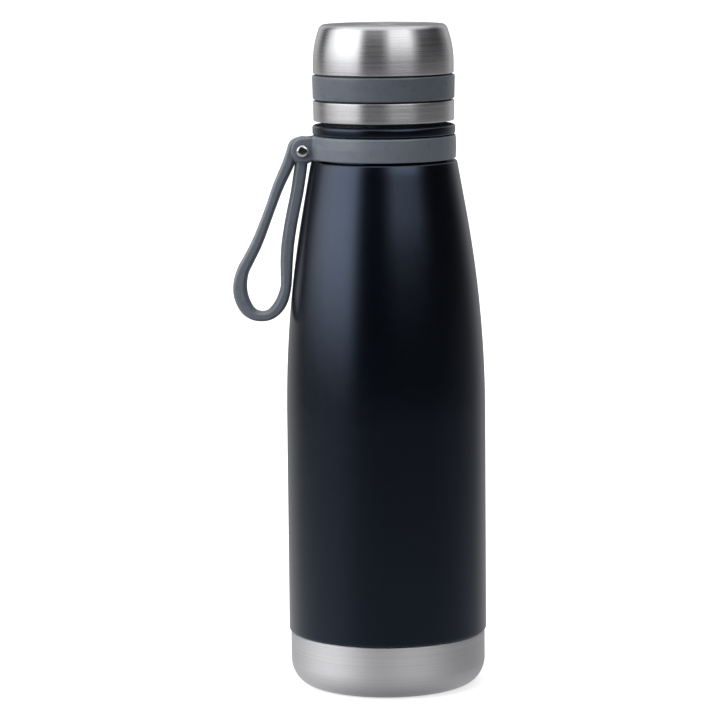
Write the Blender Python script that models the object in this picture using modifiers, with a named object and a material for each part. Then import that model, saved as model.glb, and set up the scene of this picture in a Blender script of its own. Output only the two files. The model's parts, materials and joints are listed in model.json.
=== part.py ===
"""Insulated water bottle: double-walled steel body, base cup, screw lid and silicone carry strap.

The bottle stands on z = 0 with its axis on the Z axis. The strap hangs on the -X side.
"""

import math

import bmesh
import bpy
from mathutils import Matrix, Vector

MM = 0.001

# Overall form
BODY_RADIUS = 36.5 * MM
BODY_STRAIGHT_TOP = 100.7 * MM
TAPER_ARC_RADIUS = 424.0 * MM
TAPER_ARC_TOP = 175.0 * MM
SHOULDER_TOP = 193.6 * MM
PAINT_EDGE = 20.2 * MM
LID_TOP = 243.0 * MM

# Fits: neighbouring pieces stay this far apart
GAP = 0.3 * MM

# Outer shell
SHELL_WALL = 0.8 * MM
SHELL_END = 9.6 * MM
GROOVE_RADIUS = 22.9 * MM
BEAD_BOTTOM = 203.3 * MM
BEAD_TOP = 206.7 * MM
BEAD_RADIUS = 26.05 * MM

# Neck tube, which sits inside the shell's groove and stands out above its bead
NECK_RADIUS = 21.6 * MM
NECK_WALL = 0.8 * MM
NECK_BOTTOM = 201.0 * MM
NECK_TOP = 221.2 * MM

# Inner flask
FLASK_WALL = 0.7 * MM
FLASK_RADIUS = 32.9 * MM
FLASK_FLOOR = 8.4 * MM
MOUTH_RADIUS = 19.8 * MM
RIM_TOP = 222.2 * MM
FLASK_CORNER = 9.0 * MM

# Metal wrap in the vacuum space
FOIL_BOTTOM = 24.0 * MM
FOIL_TOP = 166.0 * MM
FOIL_SKIN = 0.3 * MM

# Base cup
CUP_RADIUS = 35.9 * MM
CUP_WALL = 0.6 * MM
CUP_TOP = 19.9 * MM
CUP_CORNER_HEIGHT = 9.2 * MM
CUP_CORNER_WIDTH = 7.7 * MM
CUP_FLOOR = 0.8 * MM
FOOT_RING_OUTER = 23.5 * MM
FOOT_RING_INNER = 19.0 * MM
FOOT_RING_DEPTH = 0.35 * MM

# Base plate of the vacuum space, with its dimple
PLATE_FLOOR = 1.7 * MM
PLATE_WALL = 0.7 * MM
DIMPLE_DEPTH = 1.3 * MM
DIMPLE_RADIUS = 7.0 * MM
HOLE_RADIUS = 1.2 * MM
GETTER_OFFSET = 15.0 * MM
GETTER_RADIUS = 4.0 * MM

# Screw thread: the ridges on neck and lid run in each other's spaces
THREAD_LEAD = 4.0 * MM
THREAD_BOTTOM = 210.6 * MM
THREAD_TURNS = 1.75
THREAD_RIDGE = 0.6 * MM
THREAD_HEIGHT = 0.9 * MM
THREAD_FADE = 0.42 * MM
LID_THREAD_ROOT = 23.7 * MM

# Lid
LID_CORE_RADIUS = 24.45 * MM
LID_SKIN_RADIUS = 24.8 * MM
TOP_SHELL_RADIUS = 25.6 * MM
TOP_SHELL_BOTTOM = 225.4 * MM
TOP_SHELL_CURVE = 229.0 * MM
TOP_SHELL_SIDE_ARC = 37.0 * MM
BAND_BOTTOM = 216.15 * MM
BAND_TOP = 224.75 * MM
BAND_RADIUS = 26.0 * MM
RING_BOTTOM = 208.2 * MM
RING_TOP = 215.55 * MM
RING_RADIUS = 25.7 * MM
WEB_BOTTOM = 224.4 * MM
WEB_TOP = 225.8 * MM
PUCK_RADIUS = 23.2 * MM
PUCK_TOP = 240.8 * MM
PAN_RADIUS = 18.8 * MM
PAN_BOTTOM = 220.6 * MM
GASKET_INNER = 19.15 * MM
GASKET_OUTER = 22.3 * MM

# Strap collar, pin and strap
COLLAR_BOTTOM = 194.35 * MM
COLLAR_TOP = 202.9 * MM
COLLAR_RADIUS = 26.35 * MM
PIN_X = -29.5 * MM
PIN_Z = 197.5 * MM
PIN_RADIUS = 1.35 * MM
EAR_RADIUS = 4.15 * MM
EAR_THICKNESS = 2.0 * MM
STRAP_WIDTH = 7.0 * MM
STRAP_CORNER = 1.2 * MM
STRAP_HEAD_RADIUS = 5.05 * MM
RIVET_HEAD_RADIUS = 2.35 * MM

ROUND_STEPS = 32
SMALL_STEPS = 16

# Colour, roughness and metallic value of each material
FINISHES = {
    "powder_coat": ((0.012, 0.014, 0.019), 0.38, 0.0),
    "brushed_steel": ((0.60, 0.60, 0.61), 0.30, 1.0),
    "flask_steel": ((0.62, 0.61, 0.60), 0.35, 1.0),
    "polished_steel": ((0.75, 0.75, 0.77), 0.10, 1.0),
    "grey_silicone": ((0.14, 0.16, 0.19), 0.55, 0.0),
    "black_plastic": ((0.020, 0.021, 0.024), 0.45, 0.0),
    "white_foam": ((0.78, 0.78, 0.76), 0.90, 0.0),
    "clear_silicone": ((0.62, 0.63, 0.62), 0.50, 0.0),
    "copper_foil": ((0.78, 0.42, 0.28), 0.25, 1.0),
    "braze": ((0.50, 0.47, 0.42), 0.40, 1.0),
    "getter": ((0.32, 0.32, 0.33), 0.60, 1.0),
}


def clear_scene():
    for obj in list(bpy.data.objects):
        bpy.data.objects.remove(obj, do_unlink=True)


def make_collection(name):
    collection = bpy.data.collections.new(name)
    bpy.context.scene.collection.children.link(collection)
    return collection


def make_material(name):
    color, roughness, metallic = FINISHES[name]
    material = bpy.data.materials.new(name)
    material.use_nodes = True
    shader = material.node_tree.nodes["Principled BSDF"]
    shader.inputs["Base Color"].default_value = (*color, 1.0)
    shader.inputs["Roughness"].default_value = roughness
    shader.inputs["Metallic"].default_value = metallic
    return material


clear_scene()
PARTS = make_collection("insulated_water_bottle")
CUTTERS = make_collection("cutters")
MATERIALS = {name: make_material(name) for name in FINISHES}


# ---------------------------------------------------------------- outlines

def rounded(corners, steps=2):
    """Outline through (radius, height) corners; a third value rounds that corner with an arc."""
    outline = []
    count = len(corners)
    for index, corner in enumerate(corners):
        point = Vector(corner[:2])
        radius = corner[2] if len(corner) > 2 else 0.0
        if radius == 0.0:
            outline.append(tuple(point))
            continue
        before = (Vector(corners[index - 1][:2]) - point).normalized()
        after = (Vector(corners[(index + 1) % count][:2]) - point).normalized()
        half = before.angle(after) / 2
        start = point + before * (radius / math.tan(half))
        centre = point + (before + after).normalized() * (radius / math.sin(half))
        sweep = (math.pi - 2 * half) * (1 if before.cross(after) < 0 else -1)
        arm = start - centre
        for step in range(steps + 1):
            turn = sweep * step / steps
            outline.append((
                centre.x + arm.x * math.cos(turn) - arm.y * math.sin(turn),
                centre.y + arm.x * math.sin(turn) + arm.y * math.cos(turn),
            ))
    return outline


def taper_radius(z, inset=0.0):
    """Radius of the body at a height, or of a surface set in from it."""
    if z <= BODY_STRAIGHT_TOP:
        return BODY_RADIUS - inset
    arc_z = min(z, TAPER_ARC_TOP) - BODY_STRAIGHT_TOP
    drop = math.sqrt(TAPER_ARC_RADIUS ** 2 - arc_z ** 2)
    radius = BODY_RADIUS - TAPER_ARC_RADIUS + drop
    if z > TAPER_ARC_TOP:
        radius -= (z - TAPER_ARC_TOP) * arc_z / drop
    return radius - inset


def taper_line(low, high, steps, inset=0.0):
    """Points on the body's side from high to low, or on a surface set in from it."""
    heights = [high + (low - high) * step / steps for step in range(steps + 1)]
    return [(taper_radius(z, inset), z) for z in heights]


def ellipse_corner(radius, top, width, height, steps):
    """Quarter ellipse from the side at (radius, top) down and in to the floor."""
    points = []
    for step in range(steps + 1):
        angle = math.pi / 2 * step / steps
        points.append((radius - width * (1 - math.cos(angle)), top - height * math.sin(angle)))
    return points


# ---------------------------------------------------------------- solids

def add_object(name, mesh, collection=PARTS):
    obj = bpy.data.objects.new(name, mesh)
    collection.objects.link(obj)
    return obj


def settled(obj):
    """Replaces an object by one with its evaluated mesh, welded, in the same place."""
    bpy.context.view_layer.update()
    evaluated = obj.evaluated_get(bpy.context.evaluated_depsgraph_get())
    mesh = bpy.data.meshes.new_from_object(evaluated)
    weld = bmesh.new()
    weld.from_mesh(mesh)
    bmesh.ops.remove_doubles(weld, verts=weld.verts, dist=0.001 * MM)
    weld.to_mesh(mesh)
    weld.free()
    name = obj.name
    place = obj.matrix_world.copy()
    collection = obj.users_collection[0]
    bpy.data.objects.remove(obj, do_unlink=True)
    result = add_object(name, mesh, collection)
    result.matrix_world = place
    return result


def as_cutter(obj):
    """Moves an object to the cutters, where it is only an outline."""
    for collection in obj.users_collection:
        collection.objects.unlink(obj)
    CUTTERS.objects.link(obj)
    obj.hide_render = True
    obj.display_type = "WIRE"
    return obj


def boolean(obj, other, operation, crosses_itself=False):
    modifier = obj.modifiers.new(operation.lower(), "BOOLEAN")
    modifier.operation = operation
    modifier.object = as_cutter(other)
    modifier.solver = "EXACT"
    modifier.use_self = crosses_itself


def turned(name, outline, closed=True, steps=ROUND_STEPS, centre=(0.0, 0.0), axis="Z"):
    """Turns a (radius, height) outline, running down its outer side, about the axis."""
    mesh = bpy.data.meshes.new(name)
    profile = bmesh.new()
    verts = [profile.verts.new((radius, 0.0, height)) for radius, height in outline]
    for first, second in zip(verts, verts[1:]):
        profile.edges.new((first, second))
    if closed:
        profile.edges.new((verts[-1], verts[0]))
    profile.to_mesh(mesh)
    profile.free()
    obj = add_object(name, mesh)
    screw = obj.modifiers.new("turn", "SCREW")
    screw.axis = "Z"
    screw.angle = 2 * math.pi
    screw.steps = steps
    screw.render_steps = steps
    screw.use_merge_vertices = True
    screw.merge_threshold = 0.001 * MM
    if axis == "Y":
        obj.matrix_world = Matrix.Translation((centre[0], 0.0, centre[1])) @ Matrix.Rotation(
            -math.pi / 2, 4, "X")
    return settled(obj)


def helix_ridge(name, radius, bottom, fade):
    """Round-section ridge that climbs about the Z axis and sinks by fade at both ends."""
    curve = bpy.data.curves.new(name, "CURVE")
    curve.dimensions = "3D"
    curve.bevel_depth = THREAD_RIDGE
    curve.bevel_resolution = 1
    curve.use_fill_caps = True
    count = int(THREAD_TURNS * 18) + 1
    spline = curve.splines.new("POLY")
    spline.points.add(count - 1)
    for index in range(count):
        share = index / (count - 1)
        angle = 2 * math.pi * THREAD_TURNS * share
        sink = fade * max(0.0, 1.0 - min(share, 1.0 - share) * 9.0)
        x = (radius + sink) * math.cos(angle)
        y = (radius + sink) * math.sin(angle)
        spline.points[index].co = (x, y, bottom + THREAD_LEAD * THREAD_TURNS * share, 1.0)
    return settled(add_object(name, curve))


def plate_outline(name, outline, thickness, edge):
    """Flat (x, z) outline made into a plate across Y, centred on y = 0, with rounded edges."""
    curve = bpy.data.curves.new(name, "CURVE")
    curve.dimensions = "2D"
    curve.fill_mode = "BOTH"
    curve.extrude = thickness / 2 - edge
    curve.bevel_depth = edge
    curve.bevel_resolution = 1
    curve.offset = -edge
    spline = curve.splines.new("POLY")
    spline.points.add(len(outline) - 1)
    spline.use_cyclic_u = True
    for point, (x, z) in zip(spline.points, outline):
        point.co = (x, z, 0.0, 1.0)
    obj = add_object(name, curve)
    obj.matrix_world = Matrix.Rotation(math.pi / 2, 4, "X")
    return settled(obj)


def finish(obj, material, parent=None, origin=None):
    """Applies modifiers, moves the origin to a joint axis, and sets shading and material."""
    result = settled(obj) if obj.modifiers else obj
    mesh = result.data
    mesh.transform(result.matrix_world)
    result.matrix_world = Matrix.Identity(4)
    if origin is not None:
        mesh.transform(Matrix.Translation(-Vector(origin)))
        result.location = origin
    mesh.materials.clear()
    mesh.materials.append(MATERIALS[material])
    mesh.shade_smooth()
    mesh.set_sharp_from_angle(angle=math.radians(35))
    if parent is not None:
        bpy.context.view_layer.update()
        result.parent = parent
        result.matrix_parent_inverse = parent.matrix_world.inverted()
    return result


def pivot(name, location, parent=None):
    empty = add_object(name, None)
    empty.location = location
    empty.empty_display_size = 10 * MM
    bpy.context.view_layer.update()
    if parent is not None:
        empty.parent = parent
        empty.matrix_parent_inverse = parent.matrix_world.inverted()
        bpy.context.view_layer.update()
    return empty


# ---------------------------------------------------------------- bottle

def make_outer_shell():
    """Painted shell: bead, collar groove, shoulder, side and the reduced end in the base cup."""
    end_radius = CUP_RADIUS - CUP_WALL - GAP
    top_in = NECK_RADIUS + GAP
    groove_in = GROOVE_RADIUS - SHELL_WALL
    outer = rounded([
        (top_in, BEAD_TOP),
        (BEAD_RADIUS, BEAD_TOP, 0.7 * MM),
        (BEAD_RADIUS, BEAD_BOTTOM, 0.4 * MM),
        (GROOVE_RADIUS, BEAD_BOTTOM),
        (GROOVE_RADIUS, SHOULDER_TOP),
        (taper_radius(SHOULDER_TOP), SHOULDER_TOP, 0.5 * MM),
        (taper_radius(SHOULDER_TOP - 3 * MM), SHOULDER_TOP - 3 * MM),
    ])
    outer += taper_line(BODY_STRAIGHT_TOP, SHOULDER_TOP - 15 * MM, 5)
    outer += rounded([
        (BODY_RADIUS, BODY_STRAIGHT_TOP - 1 * MM),
        (BODY_RADIUS, PAINT_EDGE, 0.3 * MM),
        (end_radius, PAINT_EDGE),
        (end_radius, SHELL_END),
        (end_radius - SHELL_WALL, SHELL_END),
        (end_radius - SHELL_WALL, PAINT_EDGE + SHELL_WALL),
        (BODY_RADIUS - SHELL_WALL, PAINT_EDGE + 2 * SHELL_WALL),
    ])[1:]
    inner = taper_line(BODY_STRAIGHT_TOP, SHOULDER_TOP - 5 * MM, 5, SHELL_WALL)
    inner.reverse()
    inner += [
        (groove_in, SHOULDER_TOP - 1.5 * MM),
        (groove_in, BEAD_TOP - SHELL_WALL),
        (top_in, BEAD_TOP - SHELL_WALL),
    ]
    return finish(turned("outer_shell", outer + inner), "powder_coat")


def make_threaded_neck():
    """Bare steel tube welded into the shell's top, with the thread that the lid screws on."""
    inner = NECK_RADIUS - NECK_WALL
    outline = [(NECK_RADIUS, NECK_TOP), (NECK_RADIUS, NECK_BOTTOM), (inner, NECK_BOTTOM),
               (inner, NECK_TOP)]
    neck = turned("threaded_neck", outline)
    middle = NECK_RADIUS + THREAD_HEIGHT - THREAD_RIDGE
    ridge = helix_ridge("neck_thread", middle, THREAD_BOTTOM, -THREAD_FADE)
    boolean(neck, ridge, "UNION")
    return finish(neck, "flask_steel")


def flask_side(inset):
    """Side of the flask from its neck down to its floor corner, set in by a wall thickness."""
    neck = MOUTH_RADIUS + FLASK_WALL - inset
    line = [
        (neck, 196 * MM),
        (neck + 0.5 * MM, 191 * MM),
        (neck + 2.2 * MM, 186 * MM),
        (taper_radius(178 * MM, BODY_RADIUS - FLASK_RADIUS + inset) - 0.3 * MM, 178 * MM),
    ]
    line += taper_line(BODY_STRAIGHT_TOP, 168 * MM, 4, BODY_RADIUS - FLASK_RADIUS + inset)
    return line


def make_inner_flask():
    """Food-grade inner flask with a rolled lip over the neck tube."""
    neck_out = MOUTH_RADIUS + FLASK_WALL
    corner = FLASK_CORNER
    outer = rounded([
        (MOUTH_RADIUS, RIM_TOP, 0.35 * MM),
        (NECK_RADIUS, RIM_TOP, 0.35 * MM),
        (NECK_RADIUS, NECK_TOP + GAP),
        (neck_out, NECK_TOP + GAP),
    ])
    outer += flask_side(0.0)
    outer += ellipse_corner(FLASK_RADIUS, FLASK_FLOOR + corner, corner, corner, 3)
    outer.append((0.0, FLASK_FLOOR))
    floor = FLASK_FLOOR + FLASK_WALL
    inner = flask_side(FLASK_WALL)
    inner += ellipse_corner(FLASK_RADIUS - FLASK_WALL, floor + corner, corner, corner, 3)
    inner.append((0.0, floor))
    inner.reverse()
    flask = turned("inner_flask", [*inner, *outer], closed=False)
    return finish(flask, "flask_steel")


def make_reflective_foil():
    """Thin metal wrap in the vacuum space, round the flask."""
    inset = BODY_RADIUS - FLASK_RADIUS - 0.4 * MM
    outer = taper_line(BODY_STRAIGHT_TOP, FOIL_TOP, 3, inset - FOIL_SKIN)
    outer.append((BODY_RADIUS - inset + FOIL_SKIN, FOIL_BOTTOM))
    inner = taper_line(BODY_STRAIGHT_TOP, FOIL_TOP, 3, inset)
    inner.append((BODY_RADIUS - inset, FOIL_BOTTOM))
    inner.reverse()
    return finish(turned("reflective_foil", outer + inner), "copper_foil")


def make_vacuum_base_plate():
    """Pressed pan that closes the vacuum space, with a dimple and an evacuation hole."""
    radius = CUP_RADIUS - CUP_WALL - SHELL_WALL - 2 * GAP
    wall = PLATE_WALL
    top = SHELL_END + 4.0 * MM
    corner_top = CUP_CORNER_HEIGHT
    floor = PLATE_FLOOR
    dimple = floor + DIMPLE_DEPTH
    depth = corner_top - floor
    outer = [(radius, top)] + ellipse_corner(radius, corner_top, depth, depth, 3)
    slope = 2.5 * MM
    outer += [
        (DIMPLE_RADIUS, floor),
        (DIMPLE_RADIUS - slope, dimple),
        (HOLE_RADIUS, dimple),
    ]
    inner = [(radius - wall, top)]
    inner += ellipse_corner(radius - wall, corner_top, depth - wall, depth - wall, 3)
    inner += [
        (DIMPLE_RADIUS + 0.2 * MM, floor + wall),
        (DIMPLE_RADIUS - slope + 0.2 * MM, dimple + wall),
        (HOLE_RADIUS, dimple + wall),
    ]
    inner.reverse()
    return finish(turned("vacuum_base_plate", outer + inner), "flask_steel")


def make_vacuum_seal_bead():
    """Braze button under the dimple that closes the evacuation hole."""
    top = PLATE_FLOOR + DIMPLE_DEPTH - GAP
    outline = [(0.0, top), (3.2 * MM, top), (3.6 * MM, top - 0.3 * MM), (2.4 * MM, top - 0.9 * MM)]
    outline.append((0.0, top - 1.2 * MM))
    bead = turned("vacuum_seal_bead", outline, closed=False, steps=SMALL_STEPS)
    return finish(bead, "braze")


def make_getter_capsule():
    """Gas-absorbing pill fixed on the base plate, beside the dimple."""
    low = PLATE_FLOOR + PLATE_WALL + GAP
    high = low + 2.2 * MM
    outline = rounded([(0.0, high), (GETTER_RADIUS, high, 0.5 * MM), (GETTER_RADIUS, low),
                       (0.0, low)])
    getter = turned("getter_capsule", outline, closed=False, steps=SMALL_STEPS)
    getter.location = (GETTER_OFFSET, 0.0, 0.0)
    bpy.context.view_layer.update()
    return finish(getter, "getter")


def make_base_cup():
    """Brushed steel cup pressed over the shell's reduced end, with a shallow ring in its floor."""
    outer = rounded([(CUP_RADIUS - CUP_WALL, CUP_TOP), (CUP_RADIUS, CUP_TOP, 0.25 * MM),
                     (CUP_RADIUS, CUP_CORNER_HEIGHT)])[:-1]
    outer += ellipse_corner(CUP_RADIUS, CUP_CORNER_HEIGHT, CUP_CORNER_WIDTH, CUP_CORNER_HEIGHT, 5)
    outer += [
        (FOOT_RING_OUTER, 0.0),
        (FOOT_RING_OUTER - 0.6 * MM, FOOT_RING_DEPTH),
        (FOOT_RING_INNER + 0.6 * MM, FOOT_RING_DEPTH),
        (FOOT_RING_INNER, 0.0),
        (0.0, 0.0),
    ]
    inner = ellipse_corner(CUP_RADIUS - CUP_WALL, CUP_CORNER_HEIGHT, CUP_CORNER_WIDTH,
                           CUP_CORNER_HEIGHT - CUP_FLOOR, 4)
    inner.append((0.0, CUP_FLOOR))
    inner.reverse()
    cup = turned("base_cup", [*inner, *outer], closed=False)
    return finish(cup, "brushed_steel")


def make_base_adhesive_ring():
    """Flat ring of adhesive that holds the base cup to the base plate."""
    low = CUP_FLOOR + 0.28 * MM
    high = PLATE_FLOOR - 0.28 * MM
    outline = [(24.0 * MM, high), (24.0 * MM, low), (9.0 * MM, low), (9.0 * MM, high)]
    return finish(turned("base_adhesive_ring", outline), "clear_silicone")


# ---------------------------------------------------------------- lid

def top_shell_radius(z, inset=0.0):
    """Radius of the lid's top shell, which leans in above its straight skirt."""
    rise = max(0.0, z - TOP_SHELL_CURVE)
    lean = TOP_SHELL_SIDE_ARC - math.sqrt(TOP_SHELL_SIDE_ARC ** 2 - rise ** 2)
    return TOP_SHELL_RADIUS - lean - inset


def make_lid_top_shell(parent):
    wall = TOP_SHELL_RADIUS - LID_SKIN_RADIUS
    heights = [241.4, 239.0, 236.0, 233.0, 229.0]
    edge = 1.7 * MM
    outer = [(0.0, LID_TOP)]
    for step in range(4):
        angle = math.radians(10 + 55 * step / 3)
        outer.append((
            top_shell_radius(241.4 * MM) - edge * (0.94 - math.sin(angle)),
            LID_TOP - edge * (1 - math.cos(angle)),
        ))
    outer += [(top_shell_radius(z * MM), z * MM) for z in heights]
    outer += rounded([
        (TOP_SHELL_RADIUS, TOP_SHELL_CURVE),
        (TOP_SHELL_RADIUS, TOP_SHELL_BOTTOM, 0.25 * MM),
        (LID_SKIN_RADIUS, TOP_SHELL_BOTTOM),
    ])[1:]
    inner = [(0.0, LID_TOP - wall), (21.9 * MM, LID_TOP - wall)]
    inner += [(top_shell_radius(z * MM, wall), z * MM) for z in (240.5, 236.0, 229.0)]
    inner.reverse()
    shell = turned("lid_top_shell", outer + inner, closed=False)
    return finish(shell, "brushed_steel", parent)


def make_lid_grip_band(parent):
    outline = rounded([
        (LID_SKIN_RADIUS, BAND_TOP),
        (BAND_RADIUS, BAND_TOP, 0.45 * MM),
        (BAND_RADIUS - 0.2 * MM, BAND_BOTTOM, 0.45 * MM),
        (LID_SKIN_RADIUS, BAND_BOTTOM),
    ])
    return finish(turned("lid_grip_band", outline), "grey_silicone", parent)


def make_lid_lower_ring(parent):
    outline = rounded([
        (LID_SKIN_RADIUS, RING_TOP),
        (RING_RADIUS, RING_TOP, 0.25 * MM),
        (RING_RADIUS - 0.1 * MM, RING_BOTTOM, 0.35 * MM),
        (LID_SKIN_RADIUS, RING_BOTTOM),
    ])
    return finish(turned("lid_lower_ring", outline), "brushed_steel", parent)


def make_lid_core(parent):
    """Moulded core: threaded skirt, web over the mouth, and the rim that holds the top shell."""
    skirt_bottom = RING_BOTTOM + 0.3 * MM
    rim_top = TOP_SHELL_CURVE - 0.4 * MM
    rim_in = LID_CORE_RADIUS - 0.8 * MM
    outer = [
        (0.0, WEB_TOP),
        (rim_in, WEB_TOP),
        (rim_in, rim_top),
        (LID_CORE_RADIUS, rim_top),
        (LID_CORE_RADIUS, skirt_bottom),
        (LID_THREAD_ROOT, skirt_bottom),
        (LID_THREAD_ROOT, WEB_BOTTOM),
        (0.0, WEB_BOTTOM),
    ]
    core = turned("lid_core", outer, closed=False)
    middle = LID_THREAD_ROOT - THREAD_HEIGHT + THREAD_RIDGE
    ridge = helix_ridge("lid_thread", middle, THREAD_BOTTOM + THREAD_LEAD / 2, THREAD_FADE / 2)
    boolean(core, ridge, "UNION")
    return finish(core, "black_plastic", parent)


def make_lid_insulation_puck(parent):
    low = WEB_TOP + GAP
    outline = rounded([
        (0.0, PUCK_TOP),
        (PUCK_RADIUS - 1.2 * MM, PUCK_TOP, 1.2 * MM),
        (PUCK_RADIUS, PUCK_TOP - 5.3 * MM),
        (PUCK_RADIUS, low, 0.5 * MM),
        (0.0, low),
    ])
    puck = turned("lid_insulation_puck", outline, closed=False)
    return finish(puck, "white_foam", parent)


def make_lid_underside_plate(parent):
    """Shallow steel pan under the web; its flange keeps the gasket in."""
    top = WEB_BOTTOM - GAP
    wall = 0.8 * MM
    floor = PAN_BOTTOM + 0.7 * MM
    outline = rounded([
        (0.0, floor),
        (PAN_RADIUS - wall, floor, 0.3 * MM),
        (PAN_RADIUS - wall, top),
        (PAN_RADIUS, top),
        (PAN_RADIUS, PAN_BOTTOM, 0.8 * MM),
        (0.0, PAN_BOTTOM),
    ])
    pan = turned("lid_underside_plate", outline, closed=False)
    return finish(pan, "flask_steel", parent)


def make_lid_gasket(parent):
    """Silicone ring that lies on the flask's rim."""
    low = RIM_TOP + GAP
    high = WEB_BOTTOM - GAP
    outline = rounded([
        (GASKET_INNER, high),
        (GASKET_OUTER, high, 0.4 * MM),
        (GASKET_OUTER, low, 0.4 * MM),
        (GASKET_INNER, low),
    ])
    return finish(turned("lid_gasket", outline), "clear_silicone", parent)


# ---------------------------------------------------------------- collar, pin and strap

def ear_outline():
    """Rounded ear about the pin, running into the collar band."""
    outline = []
    for step in range(13):
        angle = math.radians(90 + 180 * step / 12)
        outline.append((PIN_X + EAR_RADIUS * math.cos(angle), PIN_Z + EAR_RADIUS * math.sin(angle)))
    band_x = -24.6 * MM
    outline += [
        (PIN_X + 2.4 * MM, PIN_Z - EAR_RADIUS + 0.2 * MM),
        (band_x, COLLAR_BOTTOM + 0.5 * MM),
        (band_x, COLLAR_TOP - 0.5 * MM),
        (PIN_X + 2.4 * MM, PIN_Z + EAR_RADIUS + 0.2 * MM),
    ]
    return outline


def make_strap_collar(parent):
    """Silicone band in the shell's groove, with two ears and a pocket for the strap's head."""
    inner = GROOVE_RADIUS + GAP
    middle = (COLLAR_BOTTOM + COLLAR_TOP) / 2
    outline = rounded([
        (inner, COLLAR_TOP),
        (COLLAR_RADIUS - 0.2 * MM, COLLAR_TOP, 0.5 * MM),
        (COLLAR_RADIUS, middle),
        (COLLAR_RADIUS - 0.2 * MM, COLLAR_BOTTOM, 0.5 * MM),
        (inner, COLLAR_BOTTOM),
    ])
    collar = turned("strap_collar", outline)
    ear_y = STRAP_WIDTH / 2 + GAP + EAR_THICKNESS / 2
    for side, label in ((-1, "front"), (1, "rear")):
        ear = plate_outline(f"ear_{label}", ear_outline(), EAR_THICKNESS, 0.45 * MM)
        ear.matrix_world = Matrix.Translation((0.0, side * ear_y, 0.0)) @ ear.matrix_world
        boolean(collar, ear, "UNION")
    pocket = bmesh.new()
    bmesh.ops.create_cube(pocket, size=1.0)
    far_x = PIN_X - 12.5 * MM
    near_x = PIN_X + STRAP_HEAD_RADIUS + GAP
    size = (near_x - far_x, STRAP_WIDTH + 2 * GAP, 20 * MM)
    bmesh.ops.scale(pocket, vec=size, verts=pocket.verts)
    bmesh.ops.translate(pocket, vec=((near_x + far_x) / 2, 0.0, middle), verts=pocket.verts)
    pocket_mesh = bpy.data.meshes.new("strap_pocket")
    pocket.to_mesh(pocket_mesh)
    pocket.free()
    boolean(collar, add_object("strap_pocket", pocket_mesh), "DIFFERENCE")
    boolean(collar, pin_hole("ear_holes"), "DIFFERENCE")
    return finish(collar, "grey_silicone", parent)


def pin_hole(name):
    """Cylinder along Y about the pin, wider than the pin by the gap."""
    reach = 12 * MM
    radius = PIN_RADIUS + GAP
    outline = [(0.0, reach), (radius, reach), (radius, -reach), (0.0, -reach)]
    return turned(name, outline, closed=False, steps=SMALL_STEPS, centre=(PIN_X, PIN_Z), axis="Y")


def rivet_dome(seat, height):
    """Half outline of a low domed head above its seat."""
    points = []
    for step in range(5):
        angle = math.pi / 2 * step / 4
        points.append((RIVET_HEAD_RADIUS * math.sin(angle), seat + height * math.cos(angle)))
    return points


def make_rivet_post(parent):
    """Pin with a domed head on the front ear."""
    seat = STRAP_WIDTH / 2 + GAP + EAR_THICKNESS + GAP
    outline = rivet_dome(seat + 0.3 * MM, 0.95 * MM)
    outline += [
        (RIVET_HEAD_RADIUS, seat),
        (PIN_RADIUS, seat),
        (PIN_RADIUS, -seat - 0.5 * MM),
        (0.0, -seat - 0.5 * MM),
    ]
    post = turned("rivet_post", outline, closed=False, steps=SMALL_STEPS,
                  centre=(PIN_X, PIN_Z), axis="Y")
    post.matrix_world = post.matrix_world @ Matrix.Rotation(math.pi, 4, "X")
    bpy.context.view_layer.update()
    return finish(post, "polished_steel", parent)


def make_rivet_cap(parent):
    """Domed cap pressed on the pin's end at the rear ear."""
    seat = STRAP_WIDTH / 2 + GAP + EAR_THICKNESS + GAP
    bore = PIN_RADIUS + GAP
    outline = rivet_dome(seat + 0.5 * MM, 1.15 * MM)
    outline += [
        (RIVET_HEAD_RADIUS, seat),
        (bore, seat),
        (bore, seat + 0.5 * MM + 0.35 * MM),
        (0.0, seat + 0.5 * MM + 0.35 * MM),
    ]
    cap = turned("rivet_cap", outline, closed=False, steps=SMALL_STEPS,
                 centre=(PIN_X, PIN_Z), axis="Y")
    return finish(cap, "polished_steel", parent)


# The strap in mm: x and z of its middle line and its thickness there, from inside its head
# down the outer strand, round the bottom and up the inner strand
STRAP_ROUTE = (
    (-30.2, 200.2, 4.5), (-32.5, 199.3, 4.5), (-33.4, 196.8, 4.5), (-35.05, 192.3, 4.4),
    (-38.7, 184.3, 4.0), (-42.0, 175.5, 3.7), (-46.3, 164.6, 4.0), (-49.6, 158.0, 4.2),
    (-51.9, 153.6, 4.5), (-53.0, 149.0, 5.0), (-52.8, 144.5, 5.2), (-51.0, 140.1, 4.9),
    (-48.4, 137.6, 4.1), (-45.2, 136.8, 3.6), (-42.2, 137.4, 3.7), (-39.6, 139.6, 4.2),
    (-37.6, 142.9, 4.3), (-36.35, 147.3, 4.0), (-36.1, 151.5, 4.2), (-35.9, 157.5, 4.6),
    (-35.4, 163.4, 4.7), (-34.35, 170.0, 4.7), (-33.25, 175.5, 4.7), (-31.85, 182.1, 4.7),
    (-30.45, 190.8, 4.7), (-30.1, 194.6, 4.7),
)


def smooth_route(points, steps):
    """Catmull-Rom curve through the points."""
    route = []
    ends = [points[0], *points, points[-1]]
    for index in range(len(points) - 1):
        a, b, c, d = (Vector(ends[index + offset]) for offset in range(4))
        for step in range(steps):
            t = step / steps
            route.append(0.5 * (2 * b + (c - a) * t + (2 * a - 5 * b + 4 * c - d) * t ** 2
                                + (3 * b - a - 3 * c + d) * t ** 3))
    route.append(Vector(points[-1]))
    return route


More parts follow.
